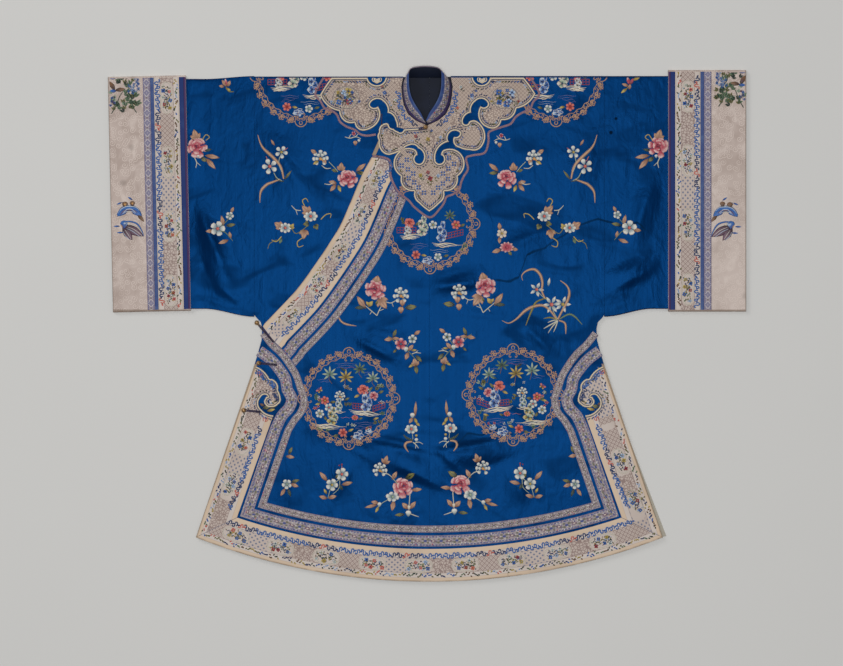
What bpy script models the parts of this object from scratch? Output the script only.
"""Ao, a short side-fastening silk robe with a cloud collar, laid flat with its front up.

Metres, +Z up. The robe's width lies along X and its length along Y, with the neck towards +Y. The
origin is under the middle of its outline, on the surface that it lies on. Left and right are the
wearer's, so the right side of the robe is at -X. Lengths in the tables are millimetres.
"""

import math
from typing import NamedTuple

import bmesh
import bpy
from mathutils.geometry import intersect_line_line_2d

MM = 0.001

# Driving sizes, in millimetres
CLOTH = 1.4
SEAM = 0.3
SEAM_X = 5.0
SHOULDER_Y = 530.0
HEM_Y = -553.0
HEM_RADIUS = 1369.0
UNDERLAP_HEM_RISE = 6.0
ARMHOLE = 376.0
SLEEVE_LOW_AT_SEAM = 17.0
CUFF_WIDTH = 167.0
SLEEVE_INSIDE_MOUTH = 14.0
CUFF_EASE = 6.0
BORDER = 70.0
HEM_BORDER_JOIN_X = 169.0
WIDE_RIBBON = 24.0
NARROW_RIBBON = 15.0
WIDE_RIBBON_AT = 87.0
NARROW_RIBBON_AT = 112.5
RIBBON_THICK = 0.8
BORDER_THICK = 1.0
COLLAR_PLATE_THICK = 1.2
COLLAR_PLATE_TOP_Y = 529.0
BRAID_WIDTH = 4.5
BRAID_THICK = 0.6
BALL_RADIUS = 5.0
STEM_RADIUS = 1.4
CORD_RADIUS = 1.1
FLAT_STEP = 90.0
FRONT_STEP = 40.0

# Heights of the cloth's faces above the surface that the robe lies on
BACK_TOP = CLOTH
UNDERLAP_LOW = 2.0
FRONT_LOW = 3.8
TRIM_LOW = FRONT_LOW + CLOTH + SEAM
SHOULDER_TRIM_LOW = UNDERLAP_LOW + CLOTH + SEAM
SLEEVE_BACK_IN_CUFF = 2 * CLOTH + SEAM
SLEEVE_FRONT_IN_CUFF = 3.5
CUFF_FRONT_LOW = SLEEVE_FRONT_IN_CUFF + CLOTH + SEAM
STRIP_LOW = CUFF_FRONT_LOW + CLOTH + SEAM
CORD_AT = TRIM_LOW + COLLAR_PLATE_THICK + SEAM + CORD_RADIUS


class Edge(NamedTuple):
    """A point of an edge that is read by its height on the robe."""

    y: float
    x: float


class Corner(NamedTuple):
    """A corner of an outline; bow is how far the stretch to the next corner swells out."""

    x: float
    y: float
    bow: float = 0.0


class Fold(NamedTuple):
    """A soft ridge of the front: its middle, its direction in degrees, its half sizes and its rise."""

    x: float
    y: float
    turn: float
    half_length: float
    half_width: float
    rise: float


class Cuff(NamedTuple):
    """A turned-back cuff: its lower and upper folds, how far out its mouth is, and its lean in degrees."""

    side: str
    sign: int
    low: float
    high: float
    mouth: float
    lean: float


class Rib(NamedTuple):
    """A line up the stand collar, from its seam to its top edge."""

    seam_x: float
    seam_y: float
    seam_z: float
    top_x: float
    top_y: float
    top_z: float


class Strip(NamedTuple):
    """A strip sewn on the cloth: the distances of its two long sides from an edge, and what it is."""

    name: str
    near: float
    far: float
    thickness: float
    material: str


class Fastening(NamedTuple):
    """A ball button, standing or lying on its side, and the far end of the cord loop round its stem."""

    name: str
    x: float
    y: float
    lying: bool
    loop_x: float
    loop_y: float


# Half width of the front and back from the middle seam, below the sleeves
SIDE_EDGE = (
    Edge(y=20, x=ARMHOLE),
    Edge(y=12, x=370),
    Edge(y=4, x=362),
    Edge(y=-10, x=359),
    Edge(y=-34, x=360),
    Edge(y=-60, x=367),
    Edge(y=-90, x=376),
    Edge(y=-458, x=501),
)
# The back shows beyond the left front by this much
BACK_BEYOND_LEFT = (
    Edge(y=-200, x=-1.5),
    Edge(y=-300, x=2),
    Edge(y=-458, x=9),
)
# Half width of the neck
NECK_EDGE = (
    Edge(y=530, x=51),
    Edge(y=510, x=55),
    Edge(y=488, x=53),
    Edge(y=470, x=49.5),
    Edge(y=450, x=40),
    Edge(y=436, x=22),
    Edge(y=427, x=2),
)
# Free edge of the overlap, from the front of the neck to the right underarm
OVERLAP_EDGE = (
    Edge(y=421, x=0),
    Edge(y=418.5, x=-20),
    Edge(y=415.5, x=-45),
    Edge(y=413, x=-70),
    Edge(y=411, x=-92),
    Edge(y=393, x=-104),
    Edge(y=357, x=-120),
    Edge(y=318, x=-141),
    Edge(y=258, x=-166),
    Edge(y=211, x=-187),
    Edge(y=175, x=-209),
    Edge(y=133, x=-237),
    Edge(y=83, x=-273),
    Edge(y=52, x=-300),
    Edge(y=1, x=-349),
    Edge(y=-8, x=-354.5),
)
FOLDS = (
    Fold(x=60, y=90, turn=10, half_length=100, half_width=36, rise=3.5),
    Fold(x=-95, y=-48, turn=-25, half_length=90, half_width=40, rise=3.0),
    Fold(x=-150, y=-235, turn=-8, half_length=95, half_width=40, rise=3.2),
    Fold(x=95, y=-278, turn=9, half_length=120, half_width=38, rise=4.2),
    Fold(x=-35, y=-305, turn=-20, half_length=110, half_width=38, rise=4.2),
    Fold(x=-180, y=-330, turn=78, half_length=60, half_width=34, rise=2.6),
    Fold(x=195, y=-345, turn=96, half_length=56, half_width=40, rise=3.0),
    Fold(x=238, y=-30, turn=-42, half_length=70, half_width=32, rise=2.6),
    Fold(x=205, y=175, turn=22, half_length=110, half_width=44, rise=2.6),
    Fold(x=-462, y=170, turn=-70, half_length=140, half_width=40, rise=5.0),
    Fold(x=-440, y=90, turn=-38, half_length=62, half_width=34, rise=3.6),
    Fold(x=-300, y=330, turn=-62, half_length=120, half_width=50, rise=2.4),
    Fold(x=440, y=110, turn=28, half_length=80, half_width=38, rise=4.6),
    Fold(x=462, y=235, turn=72, half_length=110, half_width=38, rise=3.6),
    Fold(x=330, y=330, turn=64, half_length=110, half_width=50, rise=2.2),
)
CUFFS = (
    Cuff(side="right", sign=-1, low=28, high=531, mouth=679.5, lean=1.25),
    Cuff(side="left", sign=1, low=28, high=544, mouth=685, lean=0),
)
# Strips sewn on a cuff, by distance from its mouth
CUFF_STRIPS = (
    Strip("cuff_ribbon", 74.5, 90.0, RIBBON_THICK, "lavender_ribbon"),
    Strip("cuff_blue_strip", 90.4, 98.0, RIBBON_THICK, "blue_strip"),
    Strip("sleeveband", 98.4, 152.0, RIBBON_THICK, "cream_silk"),
    Strip("cuff_binding", 152.4, 166.5, RIBBON_THICK, "purple_strip"),
)
# Trims of the overlap, by distance from its free edge
OVERLAP_STRIPS = (
    Strip("overlap_border", 0.5, 60.5, BORDER_THICK, "cream_silk"),
    Strip("overlap_ribbon_wide", 65.5, 88.5, RIBBON_THICK, "lavender_ribbon"),
    Strip("overlap_ribbon_narrow", 94.0, 108.5, RIBBON_THICK, "lavender_ribbon"),
)
# Outline of the cloud collar from its point, by distance from the middle seam. These are on both sides
POINT_LOBES = (
    Corner(0, 241, 1),
    Corner(22, 259, 5),
    Corner(32, 285, 12),
)
# The left side from there: the lowest lobe's curl, the small lobe, and the shoulder's lobes
LEFT_LOBES = (
    Corner(61, 317, 31),
    Corner(29, 373, 1),
    Corner(25, 363, -8),
    Corner(22, 344, -1.5),
    Corner(14, 349, -11),
    Corner(42, 391, -14),
    Corner(66, 410, -4),
    Corner(53, 402, 7),
    Corner(64.5, 378, 1.5),
    Corner(87.5, 373, 5),
    Corner(114, 382, 13),
    Corner(99.5, 437, 2),
    Corner(85, 434, -6),
    Corner(72, 434, -5),
)
SHOULDER_LOBES = (
    Corner(90, 453.5, -4),
    Corner(99.5, 478, -8),
    Corner(126, 472, -5),
    Corner(110, 468, 18),
    Corner(139, 419, 4),
    Corner(155, 437.5, 9),
    Corner(187, 462.5, 7),
    Corner(228, 494.5, 1),
    Corner(203, COLLAR_PLATE_TOP_Y),
    Corner(130, COLLAR_PLATE_TOP_Y, -16),
    Corner(94, COLLAR_PLATE_TOP_Y),
)
# The right side, round the small lobe that opens with the overlap, to the neck
FASTENED_LOBES = (
    Corner(61, 317, 15.6),
    Corner(62, 372, 1),
    Corner(80, 364, 2),
    Corner(96, 365, 5),
    Corner(109, 395, 3),
    Corner(108, 412, 5),
    Corner(95, 431, 3),
    Corner(86, 425, -2),
    Corner(77, 419.5, -1),
    Corner(68, 414, -5),
    Corner(55, 418),
    Corner(24, 420),
    Corner(5.5, 422.5),
)
# The crescent cut out between that small lobe and the lowest one
CRESCENT = (
    Corner(54, 377, 2.6),
    Corner(29, 374, 1),
    Corner(25, 363, -8),
    Corner(22, 344, -1.5),
    Corner(14, 349, -7),
    Corner(24, 377, -4),
    Corner(43, 383, -1),
    Corner(54, 377),
)
# Where the right shoulder's part meets it, from the neck to the channel beside the shoulder's lobes
PARTING = (Edge(x=-3.5, y=428), Edge(x=-4, y=424), Edge(x=-20, y=421.5), Edge(x=-50, y=419.5))
CHANNEL_SIDE = (Corner(70, 423, -1), Corner(73, 437, -4))
# Ruyi head at the top of a side border, measured from the middle seam, down its inner edge
RUYI_HEAD = (
    Corner(372, -91, 4),
    Corner(343, -118, 2),
    Corner(330, -123, 3),
    Corner(325, -142, 1),
    Corner(319, -158, 3),
    Corner(325, -173, 2),
    Corner(340, -179, 2),
    Corner(352, -174, 3),
    Corner(352, -160, 2),
    Corner(346, -156, -5),
    Corner(362, -158, -6),
    Corner(360, -184, -3),
    Corner(335, -196),
)
# Centre lines of the skirt's ribbons round that head, from the side edge down
WIDE_RIBBON_TOP = (
    Edge(x=365, y=-58),
    Edge(x=342, y=-75),
    Edge(x=324, y=-95),
    Edge(x=309, y=-118),
    Edge(x=305, y=-141),
    Edge(x=295, y=-160),
    Edge(x=301, y=-180),
    Edge(x=317, y=-198),
    Edge(x=331, y=-228),
)
NARROW_RIBBON_TOP = (
    Edge(x=357, y=-20),
    Edge(x=338, y=-44),
    Edge(x=315, y=-66),
    Edge(x=297, y=-91),
    Edge(x=285, y=-112),
    Edge(x=277, y=-137),
    Edge(x=269, y=-162),
    Edge(x=275, y=-188),
    Edge(x=290, y=-207),
    Edge(x=303, y=-228),
)
# The braid that follows the cloud collar, on its right shoulder, and round its front and left shoulder
SHOULDER_BRAID = (
    Edge(x=-222, y=529),
    Edge(x=-239, y=494),
    Edge(x=-220, y=458),
    Edge(x=-192, y=444),
    Edge(x=-174, y=425),
    Edge(x=-155, y=410),
    Edge(x=-134, y=405),
    Edge(x=-119, y=405.5),
)
FRONT_BRAID = (
    Edge(x=-117, y=361),
    Edge(x=-81, y=352),
    Edge(x=-78, y=318),
    Edge(x=-63, y=286),
    Edge(x=-38, y=264),
    Edge(x=-26, y=250),
    Edge(x=6, y=229),
    Edge(x=38, y=250),
    Edge(x=46, y=268),
    Edge(x=70, y=285),
    Edge(x=80, y=311),
    Edge(x=88, y=333),
    Edge(x=84, y=356),
    Edge(x=98, y=362),
    Edge(x=124, y=368),
    Edge(x=132, y=392),
    Edge(x=132, y=410),
    Edge(x=150, y=411),
    Edge(x=173, y=428),
    Edge(x=195, y=448),
    Edge(x=226, y=464),
    Edge(x=243, y=494),
    Edge(x=222, y=529),
)
# The stand collar's left half, from its front end to the nape
COLLAR_RIBS = (
    Rib(1.5, 429.5, 3, 1.5, 437, 8),
    Rib(11, 431.5, 3, 5, 444, 11),
    Rib(20.5, 436, 3, 9, 453, 14),
    Rib(30, 443.5, 3, 16, 462, 17),
    Rib(38.5, 451, 3, 22, 471, 19),
    Rib(43, 459, 3, 27, 480, 21),
    Rib(48, 470, 3, 31, 489, 22),
    Rib(50, 479, 3, 33.5, 499, 22),
    Rib(51.5, 488, 3, 35, 509, 22),
    Rib(52.5, 499, 3, 35.5, 519, 21.5),
    Rib(53, 510, 3, 35.5, 530, 21),
    Rib(50.5, 522, 3, 35.5, 540, 20),
    Rib(43, 529.5, 2.8, 33, 547, 19),
    Rib(30, 530, 2.4, 24, 551, 18),
    Rib(15, 530, 2.2, 12, 552.5, 17.5),
    Rib(0, 530, 2.2, 0, 553, 17.5),
)
COLLAR_TOP_SHIFT = -4.0
FASTENINGS = (
    Fastening("neck", x=-3, y=422, lying=False, loop_x=-18, loop_y=417),
    Fastening("underarm", x=-365, y=2.5, lying=True, loop_x=-329, loop_y=-39),
    Fastening("waist", x=-361, y=-84, lying=False, loop_x=-322, loop_y=-88),
    Fastening("slit", x=-393, y=-185, lying=False, loop_x=-357, loop_y=-189),
)
CLAVICLE_CORD_FROM = (-97, 451)
CLAVICLE_CORD_TO = (-97.5, 428)
# Where the overlap's edge would run on, past the underarm
OVERLAP_EDGE_LED_ON = Edge(x=-400, y=-58)
MATERIALS = {
    "blue_satin": ((0.004, 0.048, 0.165), 0.38, 0.0),
    "cream_silk": ((0.52, 0.44, 0.37), 0.62, 0.0),
    "lavender_ribbon": ((0.36, 0.31, 0.38), 0.58, 0.0),
    "blue_strip": ((0.02, 0.06, 0.24), 0.5, 0.0),
    "purple_strip": ((0.06, 0.03, 0.14), 0.55, 0.0),
    "pink_braid": ((0.34, 0.2, 0.24), 0.65, 0.0),
    "brass": ((0.48, 0.31, 0.13), 0.35, 1.0),
    "purple_cord": ((0.05, 0.025, 0.11), 0.6, 0.0),
}


def read(table, y):
    """The x of a table of edge points at a height on the robe, by straight stretches."""
    rows = sorted(table)
    if y <= rows[0].y:
        return rows[0].x
    for low, high in zip(rows, rows[1:]):
        if y <= high.y:
            share = (y - low.y) / (high.y - low.y)
            return low.x + share * (high.x - low.x)
    return rows[-1].x


def ease(share):
    """0 to 1 with no corner at either end."""
    share = min(1.0, max(0.0, share))
    return share * share * (3 - 2 * share)


def fold_rise(x, y):
    """How far the front's soft ridges lift the cloth at a point."""
    total = 0.0
    for fold in FOLDS:
        turn = math.radians(fold.turn)
        dx, dy = x - fold.x, y - fold.y
        along = (dx * math.cos(turn) + dy * math.sin(turn)) / fold.half_length
        across = (dy * math.cos(turn) - dx * math.sin(turn)) / fold.half_width
        if abs(along) < 1 and abs(across) < 1:
            total += fold.rise * (math.cos(along * math.pi / 2) * math.cos(across * math.pi / 2)) ** 2
    return total


def hem_y(x, rise=0.0):
    """Height on the robe of the hem, or of a line that lies rise above it, at a distance from the seam."""
    radius = HEM_RADIUS - rise
    return HEM_Y + HEM_RADIUS - math.sqrt(radius**2 - x**2)


def side_x(y, inset=0.0):
    """Half width of the skirt, or of a line that lies inset inside its side edge."""
    top, foot = SIDE_EDGE[-2], SIDE_EDGE[-1]
    slope = math.hypot(foot.x - top.x, foot.y - top.y) / abs(foot.y - top.y)
    return read(SIDE_EDGE, y) - inset * slope


def skirt_corner(inset):
    """Where the lines that lie inset inside the side edge and the hem meet."""
    y = SIDE_EDGE[-1].y + inset
    for _ in range(20):
        y = hem_y(side_x(y, inset), inset)
    return side_x(y, inset), y


def material(name):
    """The material of that name, made the first time that it is asked for."""
    if name in bpy.data.materials:
        return bpy.data.materials[name]
    colour, roughness, metallic = MATERIALS[name]
    made = bpy.data.materials.new(name)
    made.use_nodes = True
    shader = made.node_tree.nodes["Principled BSDF"]
    shader.inputs["Base Color"].default_value = (*colour, 1)
    shader.inputs["Roughness"].default_value = roughness
    shader.inputs["Metallic"].default_value = metallic
    made.diffuse_color = (*colour, 1)
    return made


def add(name, data, material_name):
    """Links a new object with this mesh or curve to the robe's collection."""
    piece = bpy.data.objects.new(name, data)
    data.materials.append(material(material_name))
    bpy.data.collections["ao_short_robe"].objects.link(piece)
    return piece


def cloth(name, sections, material_name, outwards, closed=False):
    """A wall of cloth lofted through sections, each a row of as many points, in millimetres.

    A grid takes its points from the sections, and Solidify thickens it to the side that outwards gives.
    A closed piece joins each section's last point to its first.
    """
    rows, columns = len(sections), len(sections[0])
    grid = bmesh.new()
    bmesh.ops.create_grid(grid, x_segments=rows - 1, y_segments=columns - 1, size=0.5)
    for vertex in grid.verts:
        row = round((vertex.co.x + 0.5) * (rows - 1))
        column = round((vertex.co.y + 0.5) * (columns - 1))
        vertex.co = [value * MM for value in sections[row][column]]
    if closed:
        bmesh.ops.remove_doubles(grid, verts=grid.verts, dist=0.01 * MM)
    mesh = bpy.data.meshes.new(name)
    grid.to_mesh(mesh)
    grid.free()
    mesh.shade_smooth()
    piece = add(name, mesh, material_name)
    wall = piece.modifiers.new("wall", "SOLIDIFY")
    wall.thickness = CLOTH * MM
    wall.offset = outwards
    wall.use_even_offset = True


def flat_piece(name, outline, low, thickness, material_name, hole=None):
    """A flat trim of this outline, its underside at height low."""
    curve = bpy.data.curves.new(name, "CURVE")
    curve.dimensions = "2D"
    curve.fill_mode = "BOTH"
    curve.extrude = thickness * MM / 2
    for corners in (outline, hole):
        if not corners:
            continue
        line = curve.splines.new("POLY")
        line.points.add(len(corners) - 1)
        for point, (x, y) in zip(line.points, corners):
            point.co = (x * MM, y * MM, 0, 1)
        line.use_cyclic_u = True
    piece = add(name, curve, material_name)
    piece.location.z = (low + thickness / 2) * MM


def smooth_line(points, spacing):
    """Points about spacing apart on a smooth curve through these ones."""
    points = [(point.x, point.y) for point in points]
    padded = [points[0], *points, points[-1]]
    line = []
    for before, start, end, after in zip(padded, padded[1:], padded[2:], padded[3:]):
        count = max(1, round(math.dist(start, end) / spacing))
        for step in range(count):
            t = step / count
            line.append(
                tuple(
                    0.5
                    * (
                        2 * b
                        + (c - a) * t
                        + (2 * a - 5 * b + 4 * c - d) * t**2
                        + (3 * b - a - 3 * c + d) * t**3
                    )
                    for a, b, c, d in zip(before, start, end, after)
                )
            )
    return [*line, points[-1]]


def bowed(corners, spacing=7.0):
    """The line through these corners, each stretch an arc that swells by its bow to the right of travel."""
    line = []
    for start, end in zip(corners, corners[1:]):
        chord = math.dist(start[:2], end[:2])
        line.append((start.x, start.y))
        if abs(start.bow) < 0.1:
            continue
        half_turn = 2 * math.atan(2 * abs(start.bow) / chord)
        radius = chord / 2 / math.sin(half_turn)
        count = max(2, round(2 * half_turn * radius / spacing))
        along = ((end.x - start.x) / chord, (end.y - start.y) / chord)
        right = (along[1], -along[0])
        for step in range(1, count):
            angle = half_turn * (2 * step / count - 1)
            forward = chord / 2 + radius * math.sin(angle)
            aside = radius * (math.cos(angle) - math.cos(half_turn)) * math.copysign(1, start.bow)
            line.append(
                (
                    start.x + along[0] * forward + right[0] * aside,
                    start.y + along[1] * forward + right[1] * aside,
                )
            )
    return [*line, (corners[-1].x, corners[-1].y)]


def beside(line, offset):
    """The line that runs offset to the left of another, with its corners mitred."""
    moved = []
    for number, (x, y) in enumerate(line):
        before = line[max(0, number - 1)]
        after = line[min(len(line) - 1, number + 1)]
        normals = []
        for a, b in ((before, (x, y)), ((x, y), after)):
            length = math.dist(a, b)
            if length > 1e-6:
                normals.append(((a[1] - b[1]) / length, (b[0] - a[0]) / length))
        nx, ny = (sum(parts) / len(normals) for parts in zip(*normals))
        squared = nx * nx + ny * ny
        moved.append((x + offset * nx / squared, y + offset * ny / squared))
    return moved


def ribbon(name, centre_line, width, material_name, low=TRIM_LOW, thickness=RIBBON_THICK):
    """A flat ribbon of this width along a centre line."""
    outline = beside(centre_line, -width / 2) + beside(centre_line, width / 2)[::-1]
    flat_piece(name, outline, low, thickness, material_name)


def mirrored(corners):
    """Outline corners or points on the other side of the middle seam, in the same order."""
    return [(2 * SEAM_X - x, y) for x, y in corners]


def half_round(centre_y, low, high, steps, sign):
    """Points of a fold from height low to high, which bulges to +Y or -Y."""
    radius = (high - low) / 2
    points = []
    for step in range(1, steps):
        angle = math.pi * step / steps - math.pi / 2
        points.append((centre_y + sign * radius * math.cos(angle), low + radius * (1 + math.sin(angle))))
    return points


def shares(count):
    """Even shares from 0 to 1, both included."""
    return [step / (count - 1) for step in range(count)]


def heights(*stops, step):
    """Heights on the robe through these stops, with even steps no longer than step between them."""
    found = [stops[0]]
    for start, end in zip(stops, stops[1:]):
        count = math.ceil(abs(end - start) / step)
        found += [start + (end - start) * number / count for number in range(1, count + 1)]
    return found


def bent_y(row_y, x):
    """Where a row of the skirt lies at x, as the rows take on the hem's curve further down."""
    return row_y + (hem_y(x - SEAM_X) - HEM_Y) * ease((-row_y - 60) / (-HEM_Y - 60))


def body_section(row_y, outer_at, inner, height, columns=11):
    """One row of a body length's grid, from its outer edge, whose x depends on y, to its inner edge."""
    outer = outer_at(row_y)
    for _ in range(12):
        outer = outer_at(bent_y(row_y, outer))
    points = []
    for share in shares(columns):
        x = outer + share * (inner - outer)
        y = bent_y(row_y, x)
        points.append((x, y, height(x, y)))
    return points


def side_heights():
    """Heights of the rows from the underarm down to the hem's level."""
    return [point.y for point in SIDE_EDGE[:-1]]


def back_low(sign, row_y):
    """The height of the back's upper face along a row, which rises to the left side's sewn seam."""
    outer = SEAM_X + sign * side_x(row_y)
    sewn = ease((row_y + 90) / 20) * ease((24 - row_y) / 12) if sign > 0 else 0.0

    def height(x, y):
        return BACK_TOP + (FRONT_LOW - SEAM - BACK_TOP) * sewn * ease(1 - abs(x - outer) / 30)

    return height


def make_body_length(name, sign, front_height, front_hem):
    """A body length: back and front in one piece, folded over the shoulder, with no shoulder seam."""
    middle = SEAM_X + sign * SEAM / 2

    def back_edge(y):
        beyond = read(BACK_BEYOND_LEFT, y) if sign > 0 else -1.5
        return SEAM_X + sign * (side_x(y) + (beyond if y < 0 else 0))

    def front_edge(y):
        tucked = 3 * ease((-y - 8) / 40) if sign < 0 else 0
        return SEAM_X + sign * (side_x(y) - tucked)

    sections = []
    for row_y in heights(HEM_Y, *side_heights()[::-1], 300, 528.5, step=FLAT_STEP):
        sections.append(body_section(row_y, back_edge, middle, back_low(sign, row_y)))
    top = front_height(SEAM_X + sign * ARMHOLE, SHOULDER_Y)
    for row_y, height in half_round(SHOULDER_Y, BACK_TOP, top, 5, 1):
        inner = sign * NECK_EDGE[0].x
        sections.append(body_section(row_y, front_edge, inner, lambda x, y, height=height: height))
    neck = [point.y for point in NECK_EDGE]
    for row_y in heights(*neck, *side_heights(), front_hem, step=FRONT_STEP):
        inner = sign * max(sign * middle, read(NECK_EDGE, row_y))
        sections.append(body_section(row_y, front_edge, inner, front_height))
    grid = [list(column) for column in zip(*sections)]
    cloth(name, grid[::-sign], "blue_satin", outwards=-1)


def make_body():
    """Both body lengths: the left with the left front, the right with the underlap."""

    def left_height(x, y):
        return FRONT_LOW + fold_rise(x, y)

    def right_height(x, y):
        bare = y > 8 and x < read(OVERLAP_EDGE, y)
        return UNDERLAP_LOW + (fold_rise(x, y) if bare else 0)

    make_body_length("body_left", 1, left_height, HEM_Y)
    make_body_length("body_right", -1, right_height, HEM_Y + UNDERLAP_HEM_RISE)


def make_overlap():
    """The right half of the outer front, sewn to the left front and free at its curved edge."""

    def edge(y):
        return read(OVERLAP_EDGE, y) if y > -8.1 else SEAM_X - side_x(y)

    def height(x, y):
        return FRONT_LOW + fold_rise(x, y)

    free = [point.y for point in OVERLAP_EDGE]
    rows = heights(*free, *side_heights()[4:], HEM_Y, step=FRONT_STEP)
    sections = [body_section(row_y, edge, SEAM_X - SEAM / 2, height) for row_y in rows]
    grid = [list(column) for column in zip(*sections[::-1])]
    cloth("overlap", grid, "blue_satin", outwards=1)


def tube_section(x, low, high, back_top, front_low, front_rise):
    """A ring of a flat sleeve or cuff at x: up its back, over its upper fold, down its front and round."""
    radius = (front_low - back_top) / 2
    low, high = low + radius, high - radius
    ring = [(low + share * (high - low), back_top) for share in shares(4)]
    ring += half_round(high, back_top, front_low, 4, 1)
    front = [high + share * (low - high) for share in shares(13)]
    ring += [(y, front_low + front_rise(x, y)) for y in front]
    ring += half_round(low, back_top, front_low, 4, -1)[::-1]
    ring.append(ring[0])
    return [(x, y, z) for y, z in ring]


def make_sleeve(cuff):
    """A sleeve's outer length, a flat tube from the armhole seam to just inside its cuff's mouth."""
    seam_at = SEAM_X * cuff.sign + ARMHOLE + SEAM
    cuff_at = cuff.mouth - CUFF_WIDTH
    seam_front_low = FRONT_LOW if cuff.sign > 0 else UNDERLAP_LOW
    stations = [seam_at + share * (cuff_at - 34 - seam_at) for share in shares(5)]
    stations += [cuff_at - 20, cuff_at - 8, cuff_at + 60, cuff.mouth - SLEEVE_INSIDE_MOUTH]
    sections = []
    for at in stations:
        in_cuff = ease((at - cuff_at + 34) / 26)
        out = ease((at - seam_at) / (cuff_at - 34 - seam_at))
        low = SLEEVE_LOW_AT_SEAM + out * (cuff.low + CUFF_EASE - SLEEVE_LOW_AT_SEAM)
        shoulder = SHOULDER_Y + (FRONT_LOW - BACK_TOP) / 2
        high = shoulder + out * (min(shoulder, cuff.high - CUFF_EASE) - shoulder)
        back_top = BACK_TOP + in_cuff * (SLEEVE_BACK_IN_CUFF - BACK_TOP)
        front_low = seam_front_low + in_cuff * (SLEEVE_FRONT_IN_CUFF - seam_front_low)
        bare = 1 - in_cuff
        sections.append(
            tube_section(
                cuff.sign * at,
                low,
                high,
                back_top,
                front_low,
                lambda x, y, bare=bare: fold_rise(x, y) * bare,
            )
        )
    cloth(f"sleeve_{cuff.side}", sections[:: cuff.sign], "blue_satin", outwards=-1, closed=True)


def lean(cuff, x, y):
    """A point of an upright cuff, turned by the cuff's lean about its middle."""
    middle = (cuff.sign * (cuff.mouth - CUFF_WIDTH / 2), (cuff.low + cuff.high) / 2)
    turn = math.radians(cuff.lean)
    dx, dy = x - middle[0], y - middle[1]
    return (
        middle[0] + dx * math.cos(turn) - dy * math.sin(turn),
        middle[1] + dx * math.sin(turn) + dy * math.cos(turn),
    )


def make_cuff(cuff):
    """A turned-back cuff round the sleeve's end, and the strips sewn on its front."""
    sections = []
    for share in shares(4):
        x = cuff.sign * (cuff.mouth - share * CUFF_WIDTH)
        ring = tube_section(x, cuff.low, cuff.high, CLOTH, CUFF_FRONT_LOW, lambda x, y: 0)
        sections.append([(*lean(cuff, px, py), z) for px, py, z in ring])
    cloth(f"cuff_{cuff.side}", sections[:: -cuff.sign], "cream_silk", outwards=-1, closed=True)
    low, high = cuff.low + 2.5, cuff.high - 2.5
    for strip in CUFF_STRIPS:
        near, far = (cuff.sign * (cuff.mouth - distance) for distance in (strip.near, strip.far))
        outline = [lean(cuff, x, y) for x, y in ((near, low), (far, low), (far, high), (near, high))]
        flat_piece(f"{strip.name}_{cuff.side}", outline, STRIP_LOW, strip.thickness, strip.material)


def collar_line(rib, side):
    """The points up the collar's outer face along a rib on one side of the neck, with a slight swell."""
    points = []
    for share in shares(4):
        swell = 2 * math.sin(share * math.pi)
        x = side * (rib.seam_x + share * (rib.top_x - rib.seam_x) + 0.4 * swell)
        y = rib.seam_y + share * (rib.top_y - rib.seam_y)
        z = rib.seam_z + share * (rib.top_z - rib.seam_z) + swell
        points.append((x + share * COLLAR_TOP_SHIFT, y, z))
    return points


def make_collar():
    """The stand collar, an open ring that leans into the neck at the front and back at the nape."""
    left = [collar_line(rib, 1) for rib in COLLAR_RIBS]
    right = [collar_line(rib, -1) for rib in COLLAR_RIBS[-2::-1]]
    cloth("collar", left + right, "lavender_ribbon", outwards=-1)


def make_cloud_collar():
    """The cloud collar in its two parts, which part at the fastening, and the braid that follows each."""
    neck = [(point.x + 0.4, min(point.y, COLLAR_PLATE_TOP_Y)) for point in NECK_EDGE]
    left = [(SEAM_X + x, y) for x, y in bowed([*POINT_LOBES, *LEFT_LOBES, *SHOULDER_LOBES])]
    right = [(SEAM_X - x, y) for x, y in bowed([*POINT_LOBES, *FASTENED_LOBES])]
    crescent = [(SEAM_X - x, y) for x, y in bowed(CRESCENT)[:-1]]
    front = [*left, *neck, *right[:0:-1]]
    flat_piece("cloud_collar_front", front, TRIM_LOW, COLLAR_PLATE_THICK, "cream_silk", crescent)
    lobes = [(SEAM_X - x, y) for x, y in bowed([*CHANNEL_SIDE, *SHOULDER_LOBES])]
    neck = [(-x, y) for x, y in neck[:-1]]
    parting = [(edge.x, edge.y) for edge in PARTING]
    shoulder = [*lobes, *neck, *parting]
    flat_piece("cloud_collar_shoulder", shoulder, SHOULDER_TRIM_LOW, COLLAR_PLATE_THICK, "cream_silk")
    for name, route, low in (
        ("collar_braid_shoulder", SHOULDER_BRAID, SHOULDER_TRIM_LOW),
        ("collar_braid_front", FRONT_BRAID, TRIM_LOW),
    ):
        ribbon(name, smooth_line(route, 11), BRAID_WIDTH, "pink_braid", low, BRAID_THICK)


def skirt_ribbon_line(top, inset):
    """The centre line of a skirt ribbon: down the right side, along the hem and up the left side."""
    half = [(SEAM_X + x, y) for x, y in smooth_line(top, 9)]
    corner_x, corner_y = skirt_corner(inset)
    half.append((SEAM_X + corner_x, corner_y))
    for share in (0.88, 0.75, 0.6, 0.45, 0.3, 0.15):
        half.append((SEAM_X + corner_x * share, hem_y(corner_x * share, inset)))
    return mirrored(half) + [(SEAM_X, hem_y(0, inset))] + half[::-1]


def make_hem_border(side, outer_ends, inner_ends):
    """A length of the hem's border between two distances from the seam, at its outer and inner edge."""
    outline = []
    for (start, end), rise in ((outer_ends, 0), (inner_ends[::-1], BORDER)):
        for share in shares(14):
            x = start + share * (end - start)
            outline.append((SEAM_X + x, hem_y(x, rise)))
    flat_piece(f"hem_border_{side}", outline, TRIM_LOW, BORDER_THICK, "cream_silk")


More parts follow.
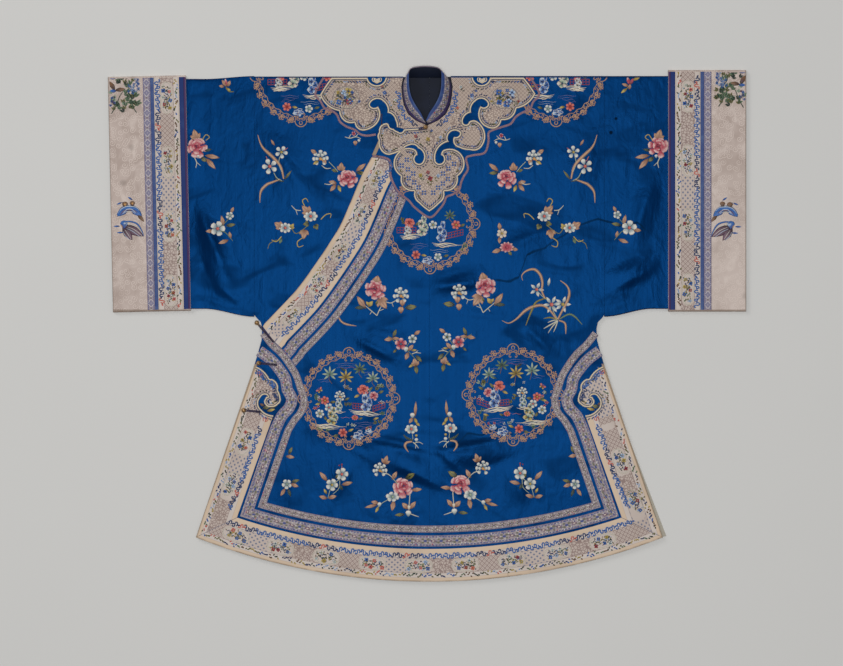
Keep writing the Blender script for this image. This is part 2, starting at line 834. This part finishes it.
def make_skirt_trims():
    """The side and hem borders and the two ribbons that run inside them."""
    foot_x, foot_y = SIDE_EDGE[-1].x, SIDE_EDGE[-1].y
    inner_x, inner_y = skirt_corner(BORDER)
    for side, sign in (("right", -1), ("left", 1)):
        outline = [*bowed(RUYI_HEAD), (inner_x + 0.3, inner_y + 0.4), (foot_x - 0.6, foot_y + 0.6)]
        outline = [(SEAM_X + sign * x, y) for x, y in outline]
        flat_piece(f"side_border_{side}", outline, TRIM_LOW, BORDER_THICK, "cream_silk")
    mitre, inner_mitre = foot_x - 0.4, inner_x - 0.4
    before, after = HEM_BORDER_JOIN_X - SEAM / 2, HEM_BORDER_JOIN_X + SEAM / 2
    make_hem_border("right", (-mitre, before), (-inner_mitre, before))
    make_hem_border("left", (after, mitre), (after, inner_mitre))
    for name, top, inset, width in (
        ("skirt_ribbon_wide", WIDE_RIBBON_TOP, WIDE_RIBBON_AT, WIDE_RIBBON),
        ("skirt_ribbon_narrow", NARROW_RIBBON_TOP, NARROW_RIBBON_AT, NARROW_RIBBON),
    ):
        ribbon(name, skirt_ribbon_line(top, inset), width, "lavender_ribbon")


def led_on(line, length):
    """A line with its first stretch run on backwards by a length."""
    (ax, ay), (bx, by) = line[:2]
    share = length / math.dist((ax, ay), (bx, by))
    return [(ax - share * (bx - ax), ay - share * (by - ay)), *line]


def stopped_at(line, barrier):
    """A line up to where it first meets a barrier, and the number of the barrier's point before there."""
    kept = [line[0]]
    for a, b in zip(line, line[1:]):
        for number, (c, d) in enumerate(zip(barrier, barrier[1:])):
            meeting = intersect_line_line_2d(a, b, c, d)
            if meeting:
                return [*kept, tuple(meeting)], number
        kept.append(b)
    return kept, len(barrier) - 1


def make_overlap_trims():
    """The overlap's border and ribbons, which follow its free edge from the braid to the skirt's ribbon."""
    edge = smooth_line([*[point for point in OVERLAP_EDGE if point.y <= 393], OVERLAP_EDGE_LED_ON], 14)
    braid = led_on(beside(smooth_line(FRONT_BRAID, 11), -BRAID_WIDTH / 2 - 1), 20)
    ribbon_line = skirt_ribbon_line(NARROW_RIBBON_TOP, NARROW_RIBBON_AT)
    ribbon_side = led_on(beside(ribbon_line, NARROW_RIBBON / 2 + 1), 40)
    for strip in OVERLAP_STRIPS:
        near, near_low = stopped_at(beside(edge, strip.near), ribbon_side)
        far, far_low = stopped_at(beside(edge, strip.far), ribbon_side)
        near, near_high = stopped_at(near[::-1], braid)
        far, far_high = stopped_at(far[::-1], braid)
        top = braid[near_high + 1 : far_high + 1]
        foot = ribbon_side[near_low + 1 : far_low + 1]
        outline = [*near, *top, *far[::-1], *foot[::-1]]
        flat_piece(strip.name, outline, TRIM_LOW, strip.thickness, strip.material)


def make_button(fastening):
    """A ball button on a short stem, which stands on the trim or lies over the robe's edge."""
    profile = [(0, -BALL_RADIUS)]
    for step in range(1, 8):
        angle = math.pi * (step / 9 - 0.5)
        profile.append((BALL_RADIUS * math.cos(angle), BALL_RADIUS * math.sin(angle)))
    stem_end = BALL_RADIUS + 2 * CORD_RADIUS + SEAM
    profile += [(STEM_RADIUS, BALL_RADIUS * 0.95), (STEM_RADIUS, stem_end), (0, stem_end)]
    turned = bmesh.new()
    corners = [turned.verts.new((radius * MM, 0, -height * MM)) for radius, height in profile]
    edges = [turned.edges.new(pair) for pair in zip(corners, corners[1:])]
    bmesh.ops.spin(
        turned, geom=corners + edges, cent=(0, 0, 0), axis=(0, 0, 1), angle=2 * math.pi, steps=12
    )
    bmesh.ops.remove_doubles(turned, verts=turned.verts, dist=0.01 * MM)
    bmesh.ops.recalc_face_normals(turned, faces=turned.faces)
    mesh = bpy.data.meshes.new(f"button_{fastening.name}")
    turned.to_mesh(mesh)
    turned.free()
    mesh.shade_smooth()
    piece = add(mesh.name, mesh, "brass")
    if fastening.lying:
        towards = math.atan2(fastening.loop_y - fastening.y, fastening.loop_x - fastening.x)
        piece.rotation_euler = (0, -math.pi / 2, towards)
        centre_z = CORD_AT + CORD_RADIUS + SEAM + STEM_RADIUS
    else:
        centre_z = CORD_AT - CORD_RADIUS + stem_end
    piece.location = (fastening.x * MM, fastening.y * MM, centre_z * MM)


def make_loop(fastening):
    """A cord laid double, whose bend passes round the button's stem, and whose ends are sewn down."""
    gap = CORD_RADIUS + SEAM / 2
    length = math.dist((fastening.x, fastening.y), (fastening.loop_x, fastening.loop_y))
    reach = BALL_RADIUS + 2 if fastening.lying else 0
    bend = gap if fastening.lying else STEM_RADIUS + CORD_RADIUS + SEAM
    half = [(length, gap), (reach + 9, gap), (reach + 3.5, bend)]
    turned = [math.pi * step / 8 for step in range(9)]
    round_stem = [(reach - bend * math.sin(angle), bend * math.cos(angle)) for angle in turned]
    route = half + round_stem + [(along, -aside) for along, aside in half[::-1]]
    start, end = (fastening.x, fastening.y), (fastening.loop_x, fastening.loop_y)
    make_cord(f"loop_{fastening.name}", start, end, route)


def make_cord(name, start, end, route):
    """A cord along a route given by distances along and aside from the line between two points."""
    length = math.dist(start, end)
    along_x, along_y = (end[0] - start[0]) / length, (end[1] - start[1]) / length
    curve = bpy.data.curves.new(name, "CURVE")
    curve.dimensions = "3D"
    curve.bevel_depth = CORD_RADIUS * MM
    curve.bevel_resolution = 2
    curve.use_fill_caps = True
    line = curve.splines.new("POLY")
    line.points.add(len(route) - 1)
    for point, (along, aside) in zip(line.points, route):
        x = start[0] + along * along_x - aside * along_y
        y = start[1] + along * along_y + aside * along_x
        point.co = (x * MM, y * MM, CORD_AT * MM, 1)
    add(name, curve, "purple_cord")


def make_fastenings():
    """The ball buttons and their loops, and the short cord that crosses the parting by the shoulder."""
    for fastening in FASTENINGS:
        make_button(fastening)
        make_loop(fastening)
    straight = [(0, 0), (math.dist(CLAVICLE_CORD_FROM, CLAVICLE_CORD_TO), 0)]
    make_cord("loop_clavicle", CLAVICLE_CORD_FROM, CLAVICLE_CORD_TO, straight)


def main():
    for old in list(bpy.data.objects):
        bpy.data.objects.remove(old)
    robe = bpy.data.collections.new("ao_short_robe")
    bpy.context.scene.collection.children.link(robe)
    make_body()
    make_overlap()
    for cuff in CUFFS:
        make_sleeve(cuff)
        make_cuff(cuff)
    make_collar()
    make_cloud_collar()
    make_skirt_trims()
    make_overlap_trims()
    make_fastenings()


main()
